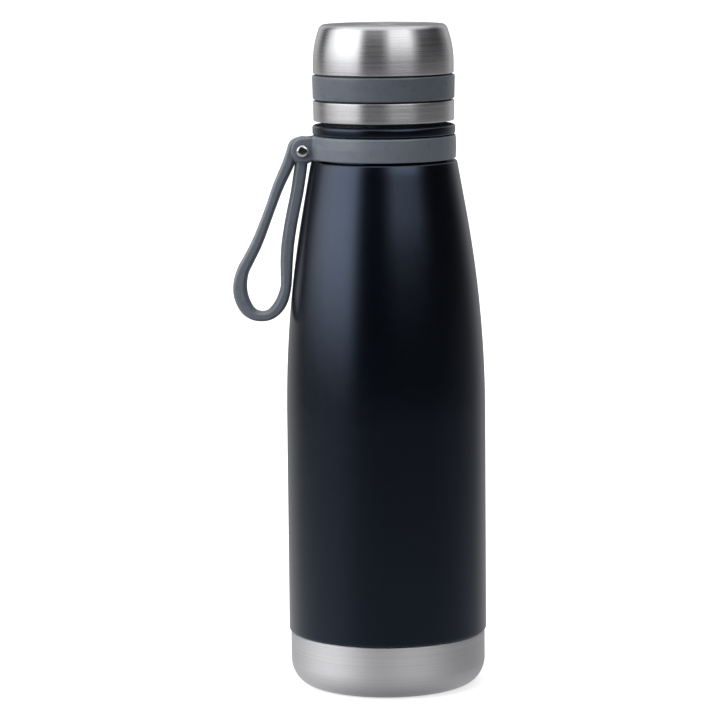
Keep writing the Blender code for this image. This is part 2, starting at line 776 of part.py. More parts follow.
def make_strap_loop(parent):
    """Moulded strap: one flat band bent into a teardrop, with a round head on the pin."""
    route = smooth_route([Vector(point) * MM for point in STRAP_ROUTE], 2)
    ribbon = bmesh.new()
    rows = []
    for index, (x, z, thickness) in enumerate(route):
        ahead = route[min(index + 1, len(route) - 1)]
        behind = route[max(index - 1, 0)]
        heading = Vector((ahead.x - behind.x, 0.0, ahead.y - behind.y)).normalized()
        across = Vector((heading.z, 0.0, -heading.x)) * thickness / 2
        middle = Vector((x, 0.0, z))
        rows.append((ribbon.verts.new(middle - across), ribbon.verts.new(middle + across)))
    for first, second in zip(rows, rows[1:]):
        ribbon.faces.new((first[0], first[1], second[1], second[0]))
    mesh = bpy.data.meshes.new("strap_loop")
    ribbon.to_mesh(mesh)
    ribbon.free()
    strap = add_object("strap_loop", mesh)
    solidify = strap.modifiers.new("width", "SOLIDIFY")
    solidify.thickness = STRAP_WIDTH - 0.14 * MM
    solidify.offset = 0.0
    bevel = strap.modifiers.new("edges", "BEVEL")
    bevel.width = STRAP_CORNER
    bevel.segments = 2
    bevel.limit_method = "ANGLE"
    bevel.angle_limit = math.radians(40)
    strap = settled(strap)
    face = STRAP_WIDTH / 2
    head = rounded([(0.0, face), (STRAP_HEAD_RADIUS, face, STRAP_CORNER),
                    (STRAP_HEAD_RADIUS, -face, STRAP_CORNER), (0.0, -face)])
    disc = turned("strap_head", head, closed=False, centre=(PIN_X, PIN_Z), axis="Y")
    boolean(strap, disc, "UNION", crosses_itself=True)
    boolean(strap, pin_hole("strap_hole"), "DIFFERENCE", crosses_itself=True)
    return finish(strap, "grey_silicone", parent, origin=(PIN_X, 0.0, PIN_Z))


# ---------------------------------------------------------------- assembly

make_outer_shell()
make_threaded_neck()
make_inner_flask()
make_reflective_foil()
make_vacuum_base_plate()
make_vacuum_seal_bead()
make_getter_capsule()
make_base_adhesive_ring()
make_base_cup()

collar_axis = pivot("collar_axis", (0.0, 0.0, PIN_Z))
make_strap_collar(collar_axis)
make_rivet_post(collar_axis)
make_rivet_cap(collar_axis)
strap_pivot = pivot("strap_pivot", (PIN_X, 0.0, PIN_Z), collar_axis)
make_strap_loop(strap_pivot)

lid_axis = pivot("lid_axis", (0.0, 0.0, RIM_TOP))
make_lid_top_shell(lid_axis)
make_lid_grip_band(lid_axis)
make_lid_lower_ring(lid_axis)
make_lid_core(lid_axis)
make_lid_insulation_puck(lid_axis)
make_lid_underside_plate(lid_axis)
make_lid_gasket(lid_axis)
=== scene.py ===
import json
import math

import bmesh
import bpy
from mathutils import Matrix, Vector


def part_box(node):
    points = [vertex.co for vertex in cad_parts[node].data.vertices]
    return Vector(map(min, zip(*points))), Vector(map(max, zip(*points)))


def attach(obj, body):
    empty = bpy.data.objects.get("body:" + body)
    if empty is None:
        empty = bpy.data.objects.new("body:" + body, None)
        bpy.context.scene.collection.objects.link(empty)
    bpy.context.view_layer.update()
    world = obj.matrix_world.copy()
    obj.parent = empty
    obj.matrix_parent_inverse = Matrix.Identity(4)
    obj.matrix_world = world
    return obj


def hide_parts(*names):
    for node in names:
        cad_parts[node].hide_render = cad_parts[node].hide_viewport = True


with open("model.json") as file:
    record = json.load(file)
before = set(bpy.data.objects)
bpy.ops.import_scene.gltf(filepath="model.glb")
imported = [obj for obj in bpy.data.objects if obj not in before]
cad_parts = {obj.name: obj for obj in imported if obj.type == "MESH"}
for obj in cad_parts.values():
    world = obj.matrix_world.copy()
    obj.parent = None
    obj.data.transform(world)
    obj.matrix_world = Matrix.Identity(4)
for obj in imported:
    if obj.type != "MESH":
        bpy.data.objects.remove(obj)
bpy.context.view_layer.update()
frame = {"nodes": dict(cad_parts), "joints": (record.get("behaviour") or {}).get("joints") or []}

MM = 0.001
FINE = 192
MEDIUM = 96

# ---------------------------------------------------------------- places read from the frame


def span(node):
    """Outer radius, lowest and highest height of a turned CAD node."""
    low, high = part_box(node)
    return high.x, low.z, high.z


JOINTS = {joint["name"]: joint for joint in frame["joints"]}
PIN_X, _, PIN_Z = JOINTS["strap_swing"]["pos_m"]
BODY_RADIUS, SHELL_END, BEAD_TOP = span("outer_shell")
_, NECK_BOTTOM, NECK_TOP = span("threaded_neck")
CUP_RADIUS, _, CUP_TOP = span("base_cup")
TOP_SHELL_RADIUS, TOP_SHELL_BOTTOM, LID_TOP = span("lid_top_shell")
BAND_RADIUS, BAND_BOTTOM, BAND_TOP = span("lid_grip_band")
RING_RADIUS, RING_BOTTOM, RING_TOP = span("lid_lower_ring")
CORE_RADIUS, CORE_BOTTOM, CORE_RIM_TOP = span("lid_core")
FLASK_RADIUS, FLASK_FLOOR, RIM_TOP = span("inner_flask")
GASKET_RADIUS, GASKET_BOTTOM, GASKET_TOP = span("lid_gasket")
PAN_RADIUS, PAN_BOTTOM, PAN_TOP = span("lid_underside_plate")
COLLAR_RADIUS, _, COLLAR_TOP = span("strap_collar")
HEAD_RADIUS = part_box("rivet_cap")[1].x - PIN_X

# Sizes that a box does not give, as in the CAD but for details such as rounded edges
BODY_STRAIGHT_TOP = 100.7 * MM
TAPER_ARC_RADIUS = 424.0 * MM
TAPER_ARC_TOP = 175.0 * MM
SHOULDER_TOP = 193.6 * MM
PAINT_EDGE = 20.2 * MM
SHELL_WALL = 0.8 * MM
SHELL_FOOT_RADIUS = 35.0 * MM
GROOVE_RADIUS = 22.9 * MM
BEAD_BOTTOM = 203.3 * MM
BEAD_RADIUS = 26.05 * MM
NECK_RADIUS = 21.6 * MM
NECK_WALL = 0.8 * MM
FLASK_WALL = 0.7 * MM
MOUTH_RADIUS = 19.8 * MM
FLASK_NECK_END = 197.0 * MM
FLASK_BLEND_TOP = 196.0 * MM
FLASK_BLEND_BOTTOM = 176.0 * MM
FLASK_TAPER_TOP = 170.0 * MM
FLASK_CORNER = 9.0 * MM
FLASK_LIP = 0.4 * MM
CUP_WALL = 0.6 * MM
CUP_FLOOR = 0.8 * MM
CUP_CORNER_HEIGHT = 9.2 * MM
CUP_CORNER_WIDTH = 7.7 * MM
FOOT_GROOVE_INNER = 18.3 * MM
FOOT_GROOVE_OUTER = 24.2 * MM
LID_SKIN_RADIUS = 24.8 * MM
TOP_SHELL_CURVE = 229.0 * MM
TOP_SHELL_SIDE_ARC = 37.0 * MM
LID_EDGE = 1.7 * MM
LID_EDGE_DROP = 1.75 * MM
LID_INSIDE_FLAT = 21.9 * MM
CORE_RIM_WALL = 0.8 * MM
WEB_BOTTOM = 224.4 * MM
WEB_TOP = 225.8 * MM
PAN_WALL = 0.8 * MM
PAN_FLOOR = 0.7 * MM
PAN_DISH_RADIUS = 12.4 * MM
PAN_DISH_DEPTH = 0.25 * MM
GASKET_INNER = 19.15 * MM
THREAD_ROOT = 23.7 * MM
THREAD_HEIGHT = 0.9 * MM
THREAD_LEAD = 4.0 * MM
THREAD_BOTTOM = 210.6 * MM
THREAD_TURNS = 1.75
COLLAR_BOTTOM = 194.35 * MM
COLLAR_INNER = 23.2 * MM
COLLAR_SOFTNESS = 0.26 * MM
EAR_THICKNESS = 2.0 * MM
EAR_EDGE = 0.5 * MM
EAR_ROOT_X = -24.6 * MM
GAP = 0.3 * MM
STRAP_WIDTH = 7.0 * MM
STRAP_HEAD_RADIUS = 5.05 * MM
STRAP_HEAD_EDGE = 1.2 * MM
PIN_RADIUS = 1.35 * MM
CUTTER_REACH = 12.0 * MM
EAR_FACE = STRAP_WIDTH / 2 + GAP + EAR_THICKNESS

# The ears are drawn 0.1 mm larger and a little higher than in the CAD, as the real ones look
EAR_RADIUS = 4.25 * MM
EAR_LIFT = 0.42 * MM

# ---------------------------------------------------------------- camera

FOCAL_LENGTH = 170.38
CAMERA_PLACE = (-9.46 * MM, -1240.0 * MM, 294.2 * MM)
CAMERA_PITCH = math.radians(7.992)
CAMERA_ROLL = math.radians(-0.54)
SENSOR_WIDTH = 36.0


def make_camera():
    """Long lens in front of the bottle and above it, tilted down and rolled a little."""
    data = bpy.data.cameras.new("camera")
    data.lens = FOCAL_LENGTH
    data.sensor_width = SENSOR_WIDTH
    data.clip_start = 0.05
    data.clip_end = 60.0
    camera = bpy.data.objects.new("camera", data)
    bpy.context.scene.collection.objects.link(camera)
    turn = Matrix.Rotation(math.pi / 2 - CAMERA_PITCH, 4, "X") @ Matrix.Rotation(CAMERA_ROLL, 4, "Z")
    camera.matrix_world = Matrix.Translation(CAMERA_PLACE) @ turn
    bpy.context.scene.camera = camera


# ---------------------------------------------------------------- light and floor

# Brightness of the studio by azimuth, as a share of its brightest panel: 0 is the camera's side,
# 90 the right. One ring of values is for what stands above table height, one for the table's far
# edge, one for the table itself, and one for the right panel, which hangs higher.
PANEL_LIGHT = 2.7
STUDIO_ABOVE = (
    (-180, 0.10), (-166, 0.20), (-152, 0.28), (-139, 0.16), (-130, 0.03), (-122, 0.05), (-114, 0.25),
    (-106, 0.52), (-94, 0.74), (-80, 0.92), (-60, 0.95), (-46, 0.82), (-37, 0.17), (-30, 0.006),
    (114, 0.010), (130, 0.08), (146, 0.22), (166, 0.15), (180, 0.10),
)
TABLE_EDGE = (
    (-180, 0.10), (-152, 0.18), (-135, 0.15), (-117, 0.05), (-95, 0.026), (-58, 0.022), (-42, 0.004),
    (44, 0.002), (76, 0.02), (95, 0.035), (119, 0.07), (146, 0.18), (180, 0.10),
)
TABLE = (
    (-180, 0.22), (-135, 0.30), (-95, 0.26), (-58, 0.20), (-30, 0.13), (0, 0.11), (59, 0.115),
    (119, 0.16), (150, 0.20), (180, 0.22),
)
RIGHT_PANEL = (
    (-180, 0.0), (-4, 0.0), (6, 0.26), (14, 0.74), (48, 0.82), (60, 0.22), (70, 0.0), (180, 0.0),
)

# Where one part of the studio fades into the next, as the Z of a direction of length 1
EDGE_TO_ABOVE = (-0.10, 0.14)
RIGHT_PANEL_RISE = (0.17, 0.36)
TABLE_TO_EDGE = (-0.23, -0.155)
NEAR_TO_TABLE = (-0.50, -0.26)
UNDER_TO_NEAR = (-0.90, -0.62)
CEILING_RISE = (0.50, 0.85)
NEAR_BRIGHTNESS = 0.24
UNDER_BRIGHTNESS = 0.06
CEILING_BRIGHTNESS = 0.42

FILL_SIZE = 1.2
FILL_POWER = 9.0
FILL_PLACE = (-1.05, -0.45, 0.85)
FILL_AIM = (0.0, 0.0, 0.12)

FLOOR_HALF = 14.0
FLOOR_DROP = 0.05 * MM
FLOOR_GLOW = 0.55


def grey(value):
    return (value, value, value, 1.0)


def make_world():
    """White background with soft light panels left and right, and a darker side by the camera."""
    world = bpy.data.worlds.new("studio")
    bpy.context.scene.world = world
    world.use_nodes = True
    tree = world.node_tree
    tree.nodes.clear()
    graph = Graph(tree)
    direction = graph.add("ShaderNodeTexCoord").outputs["Generated"]
    parts = graph.add("ShaderNodeSeparateXYZ", {"Vector": direction}).outputs
    azimuth = graph.math("ARCTAN2", parts["X"], graph.math("MULTIPLY", parts["Y"], -1.0))
    turn = graph.math("MULTIPLY_ADD", azimuth, 1 / (2 * math.pi), 0.5)
    above, edge, table, right = (
        graph.ramp(turn, [((angle + 180) / 360, (value,) * 3) for angle, value in ring])
        for ring in (STUDIO_ABOVE, TABLE_EDGE, TABLE, RIGHT_PANEL)
    )

    def fade(heights, start, end):
        return graph.map_range(parts["Z"], *heights, start, end)

    around = graph.mix(fade(EDGE_TO_ABOVE, 0.0, 1.0), edge, above)
    around = graph.mix(fade(RIGHT_PANEL_RISE, 0.0, 1.0), around, right, "ADD")
    lower = graph.mix(fade(NEAR_TO_TABLE, 1.0, 0.0), table, grey(NEAR_BRIGHTNESS))
    lower = graph.mix(fade(UNDER_TO_NEAR, 1.0, 0.0), lower, grey(UNDER_BRIGHTNESS))
    with_table = graph.mix(fade(TABLE_TO_EDGE, 1.0, 0.0), around, lower)
    whole = graph.mix(fade(CEILING_RISE, 0.0, 1.0), with_table, grey(CEILING_BRIGHTNESS))
    seen = graph.add("ShaderNodeLightPath").outputs["Is Camera Ray"]
    strength = graph.math("MULTIPLY_ADD", seen, 1.0 - PANEL_LIGHT, PANEL_LIGHT)
    shown = graph.mix(seen, whole, grey(1.0))
    background = graph.add("ShaderNodeBackground", {"Color": shown, "Strength": strength})
    output = graph.add("ShaderNodeOutputWorld")
    tree.links.new(background.outputs["Background"], output.inputs["Surface"])


def make_lights():
    """Large soft panel high on the left, which reflections do not show."""
    data = bpy.data.lights.new("left_fill", "AREA")
    data.shape = "RECTANGLE"
    data.size = FILL_SIZE
    data.size_y = FILL_SIZE
    data.energy = FILL_POWER
    light = bpy.data.objects.new("left_fill", data)
    light.location = FILL_PLACE
    aim = Vector(FILL_AIM) - light.location
    light.rotation_euler = aim.to_track_quat("-Z", "Y").to_euler()
    light.visible_glossy = False
    bpy.context.scene.collection.objects.link(light)


def make_floor():
    """Pale floor that takes the bottle's shadow but sends no light back to it."""
    corners = [(x * FLOOR_HALF, y * FLOOR_HALF, 0) for x, y in ((-1, -1), (1, -1), (1, 1), (-1, 1))]
    mesh = bpy.data.meshes.new("studio_floor")
    mesh.from_pydata(corners, [], [(0, 1, 2, 3)])
    floor = bpy.data.objects.new("studio_floor", mesh)
    bpy.context.scene.collection.objects.link(floor)
    floor.location.z = -FLOOR_DROP
    floor.visible_glossy = False
    floor.visible_diffuse = False
    graph = Graph.material("studio_floor", floor)
    mottle = graph.noise(object_place(graph), 3.0, 2.0)
    color = graph.mix(mottle, grey(0.78), grey(0.81))
    graph.shader({"Base Color": color, "Roughness": 0.9, "Specular IOR Level": 0.1,
                  "Emission Color": grey(1.0), "Emission Strength": FLOOR_GLOW})


# ---------------------------------------------------------------- shader building


class Graph:
    """Builds a node tree with short calls."""

    def __init__(self, tree):
        self.tree = tree

    @classmethod
    def material(cls, name, *objects):
        made = bpy.data.materials.new(name)
        made.use_nodes = True
        made.node_tree.nodes.clear()
        for obj in objects:
            obj.data.materials.clear()
            obj.data.materials.append(made)
        graph = cls(made.node_tree)
        graph.made = made
        return graph

    def add(self, kind, inputs=None, **settings):
        node = self.tree.nodes.new(kind)
        for key, value in settings.items():
            setattr(node, key, value)
        for key, value in (inputs or {}).items():
            self.feed(node.inputs[key], value)
        return node

    def feed(self, socket, value):
        if isinstance(value, bpy.types.NodeSocket):
            self.tree.links.new(value, socket)
        else:
            socket.default_value = value

    def math(self, operation, first, second=0.0, third=0.0):
        node = self.add("ShaderNodeMath", operation=operation)
        for socket, value in zip(node.inputs, (first, second, third)):
            self.feed(socket, value)
        return node.outputs["Value"]

    def mix(self, share, first, second, blend="MIX"):
        node = self.add("ShaderNodeMix", data_type="RGBA", blend_type=blend)
        self.feed(node.inputs[0], share)
        self.feed(node.inputs[6], first)
        self.feed(node.inputs[7], second)
        return node.outputs[2]

    def map_range(self, value, low, high, new_low, new_high):
        node = self.add("ShaderNodeMapRange", interpolation_type="SMOOTHSTEP")
        for socket, item in zip(node.inputs, (value, low, high, new_low, new_high)):
            self.feed(socket, item)
        return node.outputs["Result"]

    def ramp(self, value, stops):
        node = self.add("ShaderNodeValToRGB", {"Fac": value})
        node.color_ramp.interpolation = "LINEAR"
        elements = node.color_ramp.elements
        while len(elements) < len(stops):
            elements.new(0.5)
        for element, (place, color) in zip(elements, stops):
            element.position = place
            element.color = (*color, 1.0)
        return node.outputs["Color"]

    def noise(self, vector, scale, detail=3.0, roughness=0.5):
        node = self.add("ShaderNodeTexNoise", {"Vector": vector, "Scale": scale, "Detail": detail,
                                               "Roughness": roughness})
        return node.outputs["Fac"]

    def stretched(self, vector, x, y, z):
        return self.add("ShaderNodeMapping", {"Vector": vector, "Scale": (x, y, z)}).outputs["Vector"]

    def bump(self, height, strength, distance, normal=None):
        node = self.add("ShaderNodeBump", {"Height": height, "Strength": strength,
                                           "Distance": distance})
        if normal is not None:
            self.feed(node.inputs["Normal"], normal)
        return node.outputs["Normal"]

    def shader(self, inputs):
        node = self.add("ShaderNodeBsdfPrincipled", inputs)
        output = self.add("ShaderNodeOutputMaterial")
        self.tree.links.new(node.outputs["BSDF"], output.inputs["Surface"])
        return self.made


def object_place(graph):
    return graph.add("ShaderNodeTexCoord").outputs["Object"]


def powder_coat():
    """Satin blue-black powder coat: faint orange peel and grains, matt on the flat top of the bead."""
    graph = Graph.material("powder_coat")
    place = object_place(graph)
    peel = graph.noise(place, 1500.0, 2.0)
    grain = graph.noise(place, 5200.0, 2.0, 0.7)
    patches = graph.noise(place, 45.0, 3.0)
    color = graph.mix(patches, (0.0007, 0.0010, 0.0022, 1), (0.0011, 0.0015, 0.0030, 1))
    color = graph.mix(graph.map_range(grain, 0.62, 0.80, 0.0, 0.5), color, (0.004, 0.005, 0.008, 1))
    normal = graph.bump(peel, 0.10, 0.008 * MM)
    normal = graph.bump(grain, 0.08, 0.003 * MM, normal)
    roughness = graph.map_range(graph.noise(place, 300.0, 3.0), 0.3, 0.7, 0.215, 0.235)
    height = graph.add("ShaderNodeSeparateXYZ", {"Vector": place}).outputs["Z"]
    matt_top = graph.map_range(height, BEAD_TOP - 0.10 * MM, BEAD_TOP - 0.03 * MM, 0.0, 0.65)
    roughness = graph.math("ADD", roughness, matt_top)
    return graph.shader({"Base Color": color, "Roughness": roughness, "Normal": normal,
                         "Specular IOR Level": 0.86, "Specular Tint": (0.56, 0.70, 1.0, 1.0)})


def brushed_steel(name, tone, low_rough, high_rough, anisotropy, streak=0.5):
    """Steel brushed round its axis: fine lines in wider bands, with a few deeper scratches."""
    graph = Graph.material(name)
    place = object_place(graph)
    lines = graph.noise(graph.stretched(place, 9, 9, 9500), 1.0, 3.0, 0.6)
    bands = graph.noise(graph.stretched(place, 8, 8, 2600), 1.0, 3.0, 0.6)
    scratch = graph.noise(graph.stretched(place, 60, 60, 12000), 1.0, 1.0)
    dark = tuple(tone * part for part in (0.93, 0.93, 0.96)) + (1,)
    light = tuple(tone * part for part in (1.03, 1.03, 1.06)) + (1,)
    shade = graph.math("ADD", graph.math("MULTIPLY", lines, 0.4), graph.math("MULTIPLY", bands, 0.6))
    color = graph.mix(graph.map_range(shade, 0.38, 0.62, 0.0, 1.0), dark, light)
    color = graph.mix(graph.map_range(scratch, 0.66, 0.74, 0.0, streak), color, grey(tone * 0.70))
    roughness = graph.map_range(bands, 0.30, 0.70, low_rough, high_rough)
    normal = graph.bump(lines, 0.04, 0.004 * MM)
    normal = graph.bump(scratch, 0.03, 0.003 * MM, normal)
    tangent = graph.add("ShaderNodeTangent", direction_type="RADIAL", axis="Z").outputs["Tangent"]
    return graph.shader({"Base Color": color, "Metallic": 1.0, "Roughness": roughness,
                         "Normal": normal, "Anisotropic": anisotropy, "Anisotropic Rotation": 0.25,
                         "Tangent": tangent})


def flask_steel():
    """Electropolished inner steel with faint spinning rings."""
    graph = Graph.material("flask_steel")
    place = object_place(graph)
    rings = graph.noise(graph.stretched(place, 3, 3, 1400), 1.0, 3.0)
    cloud = graph.noise(place, 120.0, 4.0)
    color = graph.mix(cloud, (0.56, 0.555, 0.545, 1), (0.68, 0.675, 0.665, 1))
    roughness = graph.map_range(rings, 0.3, 0.7, 0.24, 0.36)
    normal = graph.bump(rings, 0.15, 0.01 * MM)
    return graph.shader({"Base Color": color, "Metallic": 1.0, "Roughness": roughness,
                         "Normal": normal})


def polished_steel():
    """Polished rivet with hairline scratches."""
    graph = Graph.material("polished_steel")
    place = object_place(graph)
    hair = graph.noise(graph.stretched(place, 9000, 900, 2500), 1.0, 2.0)
    color = graph.mix(hair, (0.60, 0.60, 0.62, 1), (0.70, 0.70, 0.72, 1))
    roughness = graph.map_range(hair, 0.35, 0.75, 0.14, 0.22)
    normal = graph.bump(hair, 0.06, 0.004 * MM)
    return graph.shader({"Base Color": color, "Metallic": 1.0, "Roughness": roughness,
                         "Normal": normal})


def silicone(name, dark, light, low_rough, high_rough, subsurface=0.0):
    """Moulded silicone: soft swells, a fine tooth in its sheen and faint mottling."""
    graph = Graph.material(name)
    place = object_place(graph)
    mottle = graph.noise(place, 160.0, 4.0)
    tooth = graph.noise(place, 2600.0, 1.0)
    swell = graph.noise(place, 260.0, 1.0)
    color = graph.mix(mottle, (*dark, 1), (*light, 1))
    roughness = graph.map_range(swell, 0.3, 0.7, low_rough, high_rough)
    roughness = graph.math("ADD", roughness, graph.map_range(tooth, 0.3, 0.7, -0.02, 0.02))
    normal = graph.bump(swell, 0.06, 0.010 * MM)
    return graph.shader({"Base Color": color, "Roughness": roughness, "Normal": normal,
                         "Specular IOR Level": 0.6, "Subsurface Weight": subsurface,
                         "Subsurface Scale": 1.5 * MM, "Sheen Weight": 0.12,
                         "Sheen Roughness": 0.5})


def black_plastic():
    """Moulded polypropylene with a spark-eroded grain."""
    graph = Graph.material("black_plastic")
    place = object_place(graph)
    grain = graph.noise(place, 4200.0, 3.0, 0.6)
    color = graph.mix(graph.noise(place, 90.0), (0.012, 0.012, 0.014, 1), (0.022, 0.022, 0.025, 1))
    roughness = graph.map_range(grain, 0.3, 0.7, 0.40, 0.55)
    return graph.shader({"Base Color": color, "Roughness": roughness,
                         "Normal": graph.bump(grain, 0.3, 0.015 * MM)})


def bead_foam():
    """Expanded bead foam: closed cells pressed against each other."""
    graph = Graph.material("white_foam")
    cells = graph.add("ShaderNodeTexVoronoi", {"Vector": object_place(graph), "Scale": 450.0},
                      feature="DISTANCE_TO_EDGE").outputs["Distance"]
    edge = graph.map_range(cells, 0.0, 0.12, 0.0, 1.0)
    color = graph.mix(edge, (0.66, 0.66, 0.64, 1), (0.84, 0.84, 0.82, 1))
    return graph.shader({"Base Color": color, "Roughness": graph.map_range(edge, 0, 1, 0.95, 0.8),
                         "Normal": graph.bump(edge, 0.5, 0.15 * MM)})


def crinkled_foil():
    """Copper-faced foil with pressed crinkles."""
    graph = Graph.material("copper_foil")
    place = object_place(graph)
    creases = graph.add("ShaderNodeTexVoronoi", {"Vector": place, "Scale": 160.0},
                        feature="DISTANCE_TO_EDGE").outputs["Distance"]
    tarnish = graph.noise(place, 60.0, 5.0)
    color = graph.mix(tarnish, (0.62, 0.30, 0.19, 1), (0.86, 0.50, 0.36, 1))
    return graph.shader({"Base Color": color, "Metallic": 1.0,
                         "Roughness": graph.map_range(tarnish, 0.3, 0.7, 0.18, 0.36),
                         "Normal": graph.bump(creases, 0.6, 0.2 * MM)})


def cast_metal(name, dark, light, metallic, scale):
    """Small cast, sintered or cured parts with a grainy skin."""
    graph = Graph.material(name)
    place = object_place(graph)
    grain = graph.noise(place, scale, 5.0, 0.65)
    color = graph.mix(grain, (*dark, 1), (*light, 1))
    return graph.shader({"Base Color": color, "Metallic": metallic,
                         "Roughness": graph.map_range(grain, 0.3, 0.7, 0.45, 0.7),
                         "Normal": graph.bump(grain, 0.4, 0.05 * MM)})


def make_materials():
    return {
        "powder_coat": powder_coat(),
        "lid_steel": brushed_steel("lid_steel", 0.62, 0.24, 0.30, 0.95),
        "cup_steel": brushed_steel("cup_steel", 0.74, 0.57, 0.63, 0.50, 0.35),
        "flask_steel": flask_steel(),
        "polished_steel": polished_steel(),
        "grey_silicone": silicone("grey_silicone", (0.090, 0.105, 0.131), (0.108, 0.124, 0.152),
                                  0.27, 0.35),
        "strap_silicone": silicone("strap_silicone", (0.128, 0.147, 0.179), (0.148, 0.168, 0.201),
                                   0.27, 0.35),
        "gasket_silicone": silicone("gasket_silicone", (0.60, 0.61, 0.60), (0.68, 0.69, 0.68),
                                    0.38, 0.48, 0.5),
        "black_plastic": black_plastic(),
        "white_foam": bead_foam(),
        "copper_foil": crinkled_foil(),
        "braze": cast_metal("braze", (0.36, 0.33, 0.28), (0.58, 0.55, 0.49), 1.0, 1600.0),
        "getter": cast_metal("getter", (0.20, 0.20, 0.21), (0.38, 0.38, 0.39), 1.0, 3500.0),
        "adhesive": cast_metal("adhesive", (0.60, 0.60, 0.56), (0.74, 0.74, 0.70), 0.0, 700.0),
    }


# ---------------------------------------------------------------- outlines


def rounded(corners, steps=5):
    """Outline through (radius, height) corners; a third value rounds that corner with an arc."""
    outline = []
    count = len(corners)
    for index, corner in enumerate(corners):
        point = Vector(corner[:2])
        radius = corner[2] if len(corner) > 2 else 0.0
        if radius == 0.0:
            outline.append(tuple(point))
            continue
        before = (Vector(corners[index - 1][:2]) - point).normalized()
        after = (Vector(corners[(index + 1) % count][:2]) - point).normalized()
        half = before.angle(after) / 2
        start = point + before * (radius / math.tan(half))
        centre = point + (before + after).normalized() * (radius / math.sin(half))
        sweep = (math.pi - 2 * half) * (1 if before.cross(after) < 0 else -1)
        arm = start - centre
        for step in range(steps + 1):
            turn = sweep * step / steps
            outline.append((
                centre.x + arm.x * math.cos(turn) - arm.y * math.sin(turn),
                centre.y + arm.x * math.sin(turn) + arm.y * math.cos(turn),
            ))
    return outline


def divided(outline, longest, closed=True):
    """The outline with long straight stretches divided, so that shading stays even."""
    result = []
    ends = outline[1:] + (outline[:1] if closed else [])
    for first, second in zip(outline, ends):
        length = math.dist(first, second)
        count = max(1, math.ceil(length / longest))
        for step in range(count):
            share = step / count
            result.append((first[0] + (second[0] - first[0]) * share,
                           first[1] + (second[1] - first[1]) * share))
    if not closed:
        result.append(outline[-1])
    return result


def taper_radius(z, inset=0.0):
    """Radius of the body at a height, or of a surface set in from it."""
    if z <= BODY_STRAIGHT_TOP:
        return BODY_RADIUS - inset
    arc_z = min(z, TAPER_ARC_TOP) - BODY_STRAIGHT_TOP
    drop = math.sqrt(TAPER_ARC_RADIUS ** 2 - arc_z ** 2)
    radius = BODY_RADIUS - TAPER_ARC_RADIUS + drop
    if z > TAPER_ARC_TOP:
        radius -= (z - TAPER_ARC_TOP) * arc_z / drop
    return radius - inset


def taper_line(low, high, steps, inset=0.0):
    """Points on the body's side from high to low, or on a surface set in from it."""
    heights = [high + (low - high) * step / steps for step in range(steps + 1)]
    return [(taper_radius(z, inset), z) for z in heights]


def ellipse_corner(radius, top, width, height, steps=14):
    """Quarter ellipse from the side at (radius, top) down and in to the floor."""
    points = []
    for step in range(steps + 1):
        angle = math.pi / 2 * step / steps
        points.append((radius - width * (1 - math.cos(angle)), top - height * math.sin(angle)))
    return points


# ---------------------------------------------------------------- meshes


def new_object(name, verts, faces):
    mesh = bpy.data.meshes.new(name)
    mesh.from_pydata([tuple(v) for v in verts], [], faces)
    mesh.update()
    obj = bpy.data.objects.new(name, mesh)
    bpy.context.scene.collection.objects.link(obj)
    return obj


def turned(name, outline, segments=FINE):
    """Solid turned about Z from an outline that runs down its outer side; ends on the axis close it."""
    on_axis = outline[0][0] < 1e-9
    verts = []
    rows = []
    for radius, height in outline:
        if radius < 1e-9:
            rows.append([len(verts)] * segments)
            verts.append((0.0, 0.0, height))
            continue
        rows.append(list(range(len(verts), len(verts) + segments)))
        for step in range(segments):
            angle = 2 * math.pi * step / segments
            verts.append((radius * math.cos(angle), radius * math.sin(angle), height))
    pairs = list(zip(rows, rows[1:]))
    if not on_axis:
        pairs.append((rows[-1], rows[0]))
    faces = []
    for upper, lower in pairs:
        for step in range(segments):
            after = (step + 1) % segments
            ring = [upper[step], lower[step], lower[after], upper[after]]
            corners = list(dict.fromkeys(ring))
            if len(corners) > 2:
                faces.append(corners)
    return new_object(name, verts, faces)


def swept(name, centres, across, along, sections):
    """Bar through the centres; each section point is (distance across, distance along)."""
    verts = []
    for centre, side, length, section in zip(centres, across, along, sections):
        verts += [centre + side * u + length * w for u, w in section]
    count = len(sections[0])
    faces = []
    for index in range(len(centres) - 1):
        base = index * count
        for step in range(count):
            after = (step + 1) % count
            faces.append((base + step, base + after, base + count + after, base + count + step))
    faces.append(tuple(range(count - 1, -1, -1)))
    last = (len(centres) - 1) * count
    faces.append(tuple(range(last, last + count)))
    obj = new_object(name, verts, faces)
    face_out(obj)
    return obj


def face_out(obj):
    """Turns the faces of a closed mesh outwards."""
    mesh = bmesh.new()
    mesh.from_mesh(obj.data)
    bmesh.ops.recalc_face_normals(mesh, faces=mesh.faces)
    mesh.to_mesh(obj.data)
    mesh.free()


def baked(obj):
    """The object with its modifiers applied and its transform in its mesh."""
    bpy.context.view_layer.update()
    evaluated = obj.evaluated_get(bpy.context.evaluated_depsgraph_get())
    mesh = bpy.data.meshes.new_from_object(evaluated)
    mesh.transform(obj.matrix_world)
    name = obj.name
    bpy.data.objects.remove(obj, do_unlink=True)
    result = bpy.data.objects.new(name, mesh)
    bpy.context.scene.collection.objects.link(result)
    return result


def combined(obj, others, operation, crosses_itself=False):
    """Boolean of an object with others, which are used up."""
    for other in others:
        modifier = obj.modifiers.new("combine", "BOOLEAN")
        modifier.operation = operation
        modifier.object = other
        modifier.solver = "EXACT"
        modifier.use_self = crosses_itself
    result = baked(obj)
    for other in others:
        bpy.data.objects.remove(other, do_unlink=True)
    return result


def about_pin(obj):
    """Lays a solid turned about Z along the pin instead."""
    obj.data.transform(Matrix.Translation((PIN_X, 0.0, PIN_Z)) @ Matrix.Rotation(-math.pi / 2, 4, "X"))
    return obj


